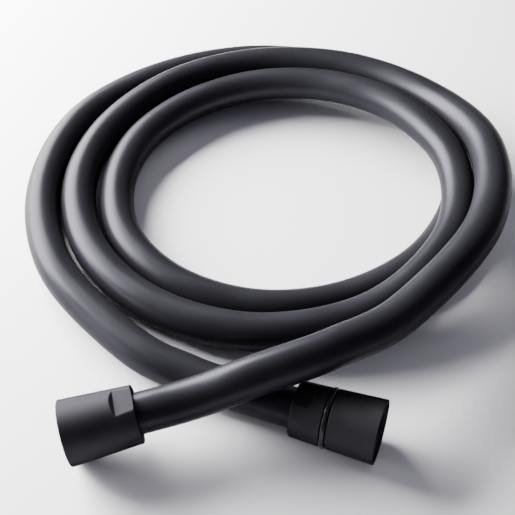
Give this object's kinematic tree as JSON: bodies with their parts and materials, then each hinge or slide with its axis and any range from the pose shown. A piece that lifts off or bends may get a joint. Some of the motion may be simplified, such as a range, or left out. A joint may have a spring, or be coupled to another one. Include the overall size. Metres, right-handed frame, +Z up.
{
  "type": "shower hose",
  "caption": "Smooth black shower hose lying in loose turns, with a tapered coupling nut on its left end and a swivel coupling on its right end, for half-inch pipe threads.",
  "frame": {"origin": "under the middle of the whole hose as it lies, on the surface it lies on", "axes": "+Z up; +Y away from someone who has both fittings in front, which is the longest way across; +X to the right"},
  "size_m": [0.2086, 0.2492, 0.041],
  "materials": {
    "hose": "satin black smooth PVC",
    "coupling_coat": "matt black coat on turned brass",
    "slip_ring": "gloss black",
    "brass": "turned, uncoated",
    "steel": "bright stainless",
    "rubber": "matt black",
    "glide_ring": "natural white acetal"
  },
  "bodies": {
    "hose_body": {"hose": "hose", "left_crimp_ferrule": "steel", "left_tail_insert": "brass", "left_sealing_washer": "rubber", "right_swivel_body": "coupling_coat", "right_crimp_ferrule": "steel", "right_slip_ring": "slip_ring", "right_swivel_spindle": "brass", "right_rear_o_ring": "rubber", "right_front_o_ring": "rubber", "right_retaining_clip": "steel"},
    "left_glide": {"left_glide_ring": "glide_ring"},
    "left_nut": {"left_coupling_nut": "coupling_coat"},
    "right_sleeve": {"right_coupling_sleeve": "coupling_coat", "right_sealing_washer": "rubber"}
  },
  "joints": [
    {"name": "left_nut_slide", "type": "slide", "parent": "hose_body", "child": "left_glide", "axis": [0.9653, 0.2318, 0.1201], "range_m": [0, 0.008]},
    {"name": "left_nut_spin", "type": "hinge", "parent": "left_glide", "child": "left_nut", "pos_m": [-0.04339, -0.10705, 0.01504], "axis": [-0.9653, -0.2318, -0.1201], "continuous": true},
    {"name": "right_sleeve_spin", "type": "hinge", "parent": "hose_body", "child": "right_sleeve", "pos_m": [0.01201, -0.10185, 0.01084], "axis": [0.9399, -0.3402, 0.0283], "continuous": true}
  ]
}
